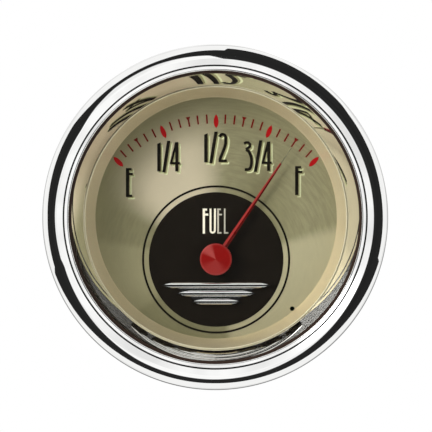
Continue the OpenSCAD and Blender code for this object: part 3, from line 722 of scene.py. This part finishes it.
def dark_strip_past_pointer(mat):
    """Fine dark olive strip past the pointer's red blade, riding on the needle."""
    start, length, wide, narrow, raised, thick = 20.1, 3.5, 0.26, 0.16, 0.1, 0.08
    low = height_of("pointer", front=False) + raised
    end = start + length
    shape = [(-wide / 2, start), (wide / 2, start), (narrow / 2, end), (-narrow / 2, end)]
    print_layer("dark_strip_past_pointer", [turned(shape, POINTER_CLOCK)], low, low + thick, mat,
                "needle")


# Turned and rolled pieces

def bezel_ring(mat):
    """The rolled bezel: wall, rounded crest, sloping face, a square groove and the hemmed lip."""
    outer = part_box("bezel")[1].x / MM
    glass = height_of("lens")
    crest_h = height_of("bezel")
    wall = 0.6
    crest_r, slope = 2.6, 25.0
    shoulder = 1.1
    flange_in = 27.8
    groove_w = 0.3
    lip_w, lip_drop, lip_r = 0.7, 0.3, 0.16
    crest_x = outer - CREST_IN
    shoulder_h = crest_h - shoulder
    slope_x1 = crest_x - crest_r * math.sin(math.radians(slope))
    slope_h1 = crest_h - crest_r * (1 - math.cos(math.radians(slope)))
    slope_x0 = WINDOW + lip_w + groove_w
    slope_h0 = slope_h1 - (slope_x1 - slope_x0) * math.tan(math.radians(slope))
    section = [(flange_in, 0), (outer - wall, 0)]
    section += arc(outer - wall, wall, wall, wall, 270, 360, 8)[1:]
    section += arc(crest_x, shoulder_h, CREST_IN, shoulder, 0, 90, 40)
    section += arc(crest_x, crest_h - crest_r, crest_r, crest_r, 90, 90 + slope, 16)[1:]
    section += [(slope_x0, slope_h0), (slope_x0 - groove_w / 2, slope_h0 - groove_w / 2)]
    section += [(WINDOW + lip_w, slope_h0)]
    section += arc(WINDOW + lip_r, slope_h0 - lip_drop - lip_r, lip_r, lip_r, 60, 180, 14)
    section += [(WINDOW, glass), (slope_x0 + wall / 2, glass), (slope_x0 + wall / 2, slope_h0 - wall)]
    section += [(slope_x1, slope_h1 - wall), (crest_x, crest_h - wall)]
    section += arc(crest_x, shoulder_h, CREST_IN - wall, shoulder - wall, 80, 0, 8)
    section += [(outer - wall, wall), (flange_in, wall)]
    ring = lathe("bezel_skin", section, mat, "root", 360, 12.0)
    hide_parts("bezel")


def mirror_ring(mat):
    """The polished cone between the glass and the satin ring, its face slightly crowned."""
    top = height_of("lens", front=False)
    bottom = height_of("satin_ring")
    sheet, crown, steps = 0.5, 0.025, 12
    rise = top - bottom
    width = WINDOW - MIRROR_IN
    length = math.hypot(rise, width)
    foot = MIRROR_IN + sheet * length / rise
    section = []
    for i in range(steps + 1):
        t = i / steps
        bulge = 4 * crown * t * (1 - t)
        r = MIRROR_IN + width * t - bulge * rise / length
        section.append((r, bottom + rise * t + bulge * width / length))
    section += [(RING_OUT, top), (RING_OUT, top - sheet)]
    section += [(WINDOW + sheet / 2, top - sheet), (foot, bottom)]
    cone_ring = lathe("mirror_cone", section, mat, "root", 360)
    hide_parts("mirror_ring")


def satin_ring(mat):
    """The satin ring from the dial up to the mirror ring, with a rounded bead at its top."""
    low, top = height_of("dial_plate"), height_of("satin_ring")
    bead, gap, edge_low, edge_high = 0.12, 0.01, 0.15, 0.3
    bead_out = MIRROR_IN - gap
    section = [(DIAL_VIEW, low), (RING_OUT, low), (RING_OUT, top)]
    section += arc(bead_out - bead, top, bead, bead, 0, 180, 8)
    section += [(bead_out - 2 * bead, top - bead)]
    section += [(DIAL_VIEW + bead, low + edge_high), (DIAL_VIEW, low + edge_low)]
    flat_ring = lathe("satin_band", section, mat, "root", 360, 12.0)
    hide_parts("satin_ring")


def lip_dark_reflection(mat):
    """Painted dark reflection: a thin black bead where the lip meets the glass, standing in for the
    dark line that the lip's inner wall reflects.
    """
    glass = height_of("lens")
    width, height = 0.52, 0.34
    section = [(WINDOW - width, glass), (WINDOW, glass), (WINDOW, glass + height)]
    section += arc(WINDOW, glass, width, height, 90, 180, 6)[1:-1]
    lathe("lip_dark_reflection", section, mat, "root")


# Stage

def by_clock(tree, clock_share, table, full):
    """A value that runs through (clock angle, value) pairs, as a share of full."""
    ramp = add(tree, "ShaderNodeValToRGB")
    stops = ramp.color_ramp.elements
    while len(stops) > 1:
        stops.remove(stops[0])
    for i, (clock, value) in enumerate(table):
        stop = stops[0] if i == 0 else stops.new(clock / 360)
        stop.position = clock / 360
        stop.color = (value / full, value / full, value / full, 1)
    feed(tree, clock_share, ramp.inputs["Fac"])
    return ramp.outputs["Color"]


def opening(tree, direction, apart):
    """Nearly 0 inside the opening round the camera and 1 outside it."""
    dark, blur = 0.02, 0.006
    turn = maths(tree, "ARCTAN2", apart.outputs["X"], apart.outputs["Z"])
    turn_share = maths(tree, "FRACT", product(tree, turn, 0.5 / math.pi))
    limit = by_clock(tree, turn_share, OPENING, 180.0)
    reach = vectors(tree, "LENGTH", vectors(tree, "MULTIPLY", direction, (1, 0, 1)))
    ahead = product(tree, apart.outputs["Y"], -1.0)
    tilt_share = product(tree, maths(tree, "ARCTAN2", reach, ahead), 1.0 / math.pi)
    past = maths(tree, "SUBTRACT", tilt_share, limit)
    return spread(tree, past, dark, 1.0, -blur, blur)


def walls(tree, direction, apart):
    """The room's brightness: dimmer away from the camera, and uneven behind the panel."""
    falling = spread(tree, apart.outputs["Y"], 1.0, 0.5, 0.0, 0.7)
    sky = spread(tree, apart.outputs["Z"], 0.3, 1.9, -0.7, 0.7)
    sides = spread(tree, noise(tree, direction, 1.7, 1.0), 0.55, 1.35, 0.35, 0.62)
    behind = add(tree, "ShaderNodeMix", data_type="FLOAT")
    feed(tree, spread(tree, apart.outputs["Y"], 0.0, 1.0, 0.15, 0.6), behind.inputs["Factor"])
    feed(tree, 1.0, behind.inputs["A"])
    feed(tree, product(tree, sky, sides), behind.inputs["B"])
    return product(tree, falling, behind.outputs["Result"])


def lamp_glow(tree, direction):
    """Glow of a bright lamp in the direction that the constants give."""
    tilt, turn = math.radians(KEY_TILT), math.radians(KEY_CLOCK)
    lamp = (math.sin(tilt) * math.sin(turn), -math.cos(tilt), math.sin(tilt) * math.cos(turn))
    facing = vectors(tree, "DOT_PRODUCT", direction, lamp)
    core = math.cos(math.radians(KEY_HALF * KEY_CORE))
    edge = math.cos(math.radians(KEY_HALF))
    return spread(tree, facing, 0.0, KEY_STRENGTH, edge, core)


def seen_by_gloss(tree, direction):
    """Brightness that polished metal sees in a direction."""
    apart = add(tree, "ShaderNodeSeparateXYZ")
    feed(tree, direction, apart.inputs["Vector"])
    cloth = spread(tree, noise(tree, direction, 2.6), 0.86, 1.08, 0.36, 0.56)
    lit = product(tree, opening(tree, direction, apart), walls(tree, direction, apart))
    return maths(tree, "ADD", product(tree, lit, cloth), lamp_glow(tree, direction))


def background(tree, strength):
    """White light from all round."""
    node = add(tree, "ShaderNodeBackground", Color=(1, 1, 1, 1))
    feed(tree, strength, node.inputs["Strength"])
    return node.outputs["Background"]


def make_world():
    """White all round. Polished metal also sees a dark opening round the camera."""
    world = bpy.data.worlds.new("studio")
    bpy.context.scene.world = world
    world.use_nodes = True
    tree = world.node_tree
    tree.nodes.clear()
    coords = add(tree, "ShaderNodeTexCoord")
    path = add(tree, "ShaderNodeLightPath")
    room = background(tree, seen_by_gloss(tree, coords.outputs["Generated"]))
    even = background(tree, WORLD_LEVEL)
    white = background(tree, 1.0)
    lighting = mixed_shader(tree, path.outputs["Is Glossy Ray"], even, room)
    seen = maths(tree, "MAXIMUM", path.outputs["Is Camera Ray"], path.outputs["Is Transmission Ray"])
    out = add(tree, "ShaderNodeOutputWorld")
    feed(tree, mixed_shader(tree, seen, lighting, white), out.inputs["Surface"])


def glow(name, level):
    """A surface that shines evenly."""
    mat, tree, surface = bare_nodes(name)
    shine = add(tree, "ShaderNodeEmission", Strength=level)
    feed(tree, shine.outputs["Emission"], surface)
    return mat


def at_clock(table, clock):
    """Value at a clock angle, between the (clock angle, value) pairs of a table."""
    for (c0, v0), (c1, v1) in zip(table, table[1:]):
        if c0 <= clock <= c1:
            return v0 + (v1 - v0) * (clock - c0) / (c1 - c0)
    return table[-1][1]


def card_mesh():
    """Flat ring in one step a degree: its dark part and then its white part at each step."""
    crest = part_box("bezel")[1].x / MM - CREST_IN
    height = height_of("bezel") + CARD_RISE
    verts, faces = [], []
    for clock in range(360):
        edge = crest + CARD_RISE * math.tan(math.radians(at_clock(CARD_EDGE, clock)))
        x, _, v = clock_vector(clock)
        verts += [place(r * x, r * v, height) for r in (CARD_IN, edge, CARD_OUT)]
        here, there = 3 * clock, 3 * ((clock + 1) % 360)
        faces += [(here + k, here + k + 1, there + k + 1, there + k) for k in (0, 1)]
    mesh = bpy.data.meshes.new("card")
    mesh.from_pydata(verts, [], faces)
    return mesh


def make_card():
    """Card round the camera's view, which only reflections see."""
    mesh = card_mesh()
    mesh.materials.append(glow("card_dark", 0.02))
    mesh.materials.append(glow("card_white", 1.0))
    for i, face in enumerate(mesh.polygons):
        face.material_index = i % 2
    card = bpy.data.objects.new("card", mesh)
    bpy.context.scene.collection.objects.link(card)
    card.visible_camera = False
    card.visible_diffuse = False
    card.visible_transmission = False
    card.visible_shadow = False


def make_light(name, x, v, h, size, power):
    """Round soft lamp that points at the panel's centre. Reflections don't show it."""
    data = bpy.data.lights.new(name, "AREA")
    data.shape = "DISK"
    data.size = size * MM
    data.energy = power
    lamp = bpy.data.objects.new(name, data)
    bpy.context.scene.collection.objects.link(lamp)
    lamp.location = place(x, v, h)
    lamp.rotation_euler = (-lamp.location).to_track_quat("-Z", "Y").to_euler()
    lamp.visible_glossy = False


def make_floor():
    """White floor below the gauge."""
    size, level = 1.0, -0.06
    mesh = bpy.data.meshes.new("floor")
    corners = [(-size, -size, level), (size, -size, level), (size, size, level), (-size, size, level)]
    mesh.from_pydata(corners, [], [(0, 1, 2, 3)])
    mesh.materials.append(finish_plain("floor_paint", (0.93, 0.93, 0.93), 0.9, tone=0.01, relief=0.0))
    floor = bpy.data.objects.new("floor", mesh)
    bpy.context.scene.collection.objects.link(floor)
    floor.visible_glossy = False


def make_camera():
    """Camera a little to the right of the dial's axis and below it."""
    sensor = 36.0
    right, below = math.radians(CAMERA_RIGHT), math.radians(CAMERA_BELOW)
    data = bpy.data.cameras.new("camera")
    camera = bpy.data.objects.new("camera", data)
    bpy.context.scene.collection.objects.link(camera)
    target = place(AIM[0], AIM[1], 0)
    out = Vector((math.sin(right), -math.cos(right) * math.cos(below), -math.sin(below))).normalized()
    camera.location = target + out * CAMERA_DISTANCE * MM
    camera.rotation_euler = (-out).to_track_quat("-Z", "Y").to_euler()
    data.sensor_width = sensor
    data.lens = sensor * CAMERA_DISTANCE / VIEW_WIDTH
    data.clip_start = 0.01
    bpy.context.scene.camera = camera


# Putting it together

def dress(names, mat):
    """Gives carried-over solids their finish."""
    for name in names:
        mesh = frame["nodes"][name].data
        mesh.materials.clear()
        mesh.materials.append(mat)


def dress_hardware():
    """What clamps, seals and closes the gauge, and what the wires go on."""
    dress(["case", "case_flange"],
          finish_metal("drawn_case", (0.56, 0.58, 0.6), 0.34, grain=(0.3, 1, 0.3)))
    dress(["clamp_bracket"], finish_metal("zinc_sheet", (0.58, 0.59, 0.6), 0.36, grain=(1, 1, 0.1)))
    dress(["mounting_studs", "jam_washers", "jam_nuts", "lock_washers", "terminal_washers"],
          finish_metal("zinc_plate", (0.62, 0.63, 0.64), 0.32))
    dress(["terminal_studs", "terminal_nuts", "thumb_nut_left", "thumb_nut_right",
           "lamp_contacts", "top_bearing"], finish_metal("turned_brass", (0.62, 0.44, 0.18), 0.3))
    dress(["terminal_insulators"], finish_plain("red_fibre", (0.22, 0.06, 0.035), 0.6))
    dress(["lamp_holder"], finish_plain("black_moulding", (0.018, 0.018, 0.018), 0.42, tone=0.2))
    dress(["lamp_bulb"], clear_glass("bulb_glass", (0.96, 0.96, 0.94)))
    dress(["lens"], clear_glass("lens_glass", (0.985, 0.99, 0.985)))
    dress(["lens_gasket"], finish_plain("gasket_rubber", (0.03, 0.03, 0.03), 0.7))


def dress_movement():
    """What lies behind the dial."""
    dress(["light_cup"], finish_plain("cup_plastic", (0.8, 0.8, 0.77), 0.45, tone=0.03))
    dress(["shield_can"], finish_metal("can_nickel", (0.5, 0.49, 0.45), 0.3))
    dress(["bobbin_lower", "bobbin_upper"],
          finish_plain("bobbin_nylon", (0.74, 0.68, 0.52), 0.5, tone=0.05))
    dress(["coil_inner", "coil_outer"],
          finish_metal("copper_wire", (0.6, 0.22, 0.09), 0.35, grain=(1, 0.05, 1), grain_scale=2500.0))
    dress(["spindle"], finish_metal("ground_steel", (0.55, 0.55, 0.55), 0.25))
    dress(["rotor_magnet"],
          finish_plain("sintered_magnet", (0.08, 0.08, 0.085), 0.55, tone=0.2, relief=0.4))
    dress(["pivot_jewel"], finish_plain("red_jewel", (0.45, 0.06, 0.15), 0.1, coat=0.5))
    dress(["circuit_board"], finish_plain("green_board", (0.03, 0.17, 0.07), 0.35, tone=0.15, coat=0.3))
    dress(["resistors"], finish_plain("resistor_lacquer", (0.5, 0.36, 0.2), 0.3, coat=0.4))


def build_dial():
    """Dial plate, disc and scale marks."""
    dress(["dial_plate"], brushed_dial())
    disc_black = disc_ink()
    dress(["dial_print_black"], disc_black)
    dial_disc(disc_black)
    mark_red = finish_plain("mark_red", RED_MARK, 0.45, gloss=0.1)
    dress(["dial_print_red"], mark_red)
    dial_marks(mark_red, finish_plain("fine_red", RED_FINE, 0.45, gloss=0.1))


def build_pointer():
    """Pointer, its cap and the fine dark strip past its blade."""
    dress(["pointer"], facetted_red())
    dress(["hub_cap"], turned_cap())
    dark_strip_past_pointer(finish_plain("pointer_olive", POINTER_OLIVE, 0.5, gloss=0.2))


def build_rings():
    """Bezel, trim, mirror ring, satin ring and the painted dark reflection in the lip."""
    shine = chrome()
    dress(["dial_trim"], shine)
    bezel_ring(shine)
    mirror_ring(polished_mirror())
    satin_ring(satin_ring_finish())
    lip_dark_reflection(finish_plain("lip_reflection_paint", LIP_REFLECTION_DARK, 0.6, gloss=0.15))


def build_lettering():
    """Figures and word on the dial."""
    black = finish_plain("print_black", BLACK_INK, 0.5, gloss=0.1)
    olive = finish_plain("print_olive", EDGE_OLIVE, 0.5, tone=0.03, gloss=0.2)
    green = finish_plain("print_green", SHADOW_GREEN, 0.5, tone=0.03, gloss=0.2)
    dial_figures(black, olive, green)
    cream = finish_plain("print_cream", CREAM, 0.5, tone=0.03)
    dim_cream = finish_plain("print_cream_dim", toned(CREAM, 0.55), 0.5, tone=0.03)
    word_fuel(cream, dim_cream)


make_camera()
make_world()
make_floor()
make_card()
make_light("key", x=-400, v=160, h=380, size=260, power=3.0)
make_light("fill", x=400, v=-140, h=400, size=300, power=1.6)
dress_hardware()
dress_movement()
build_dial()
build_pointer()
build_rings()
build_lettering()

view = bpy.context.scene.view_settings
view.view_transform = "Standard"
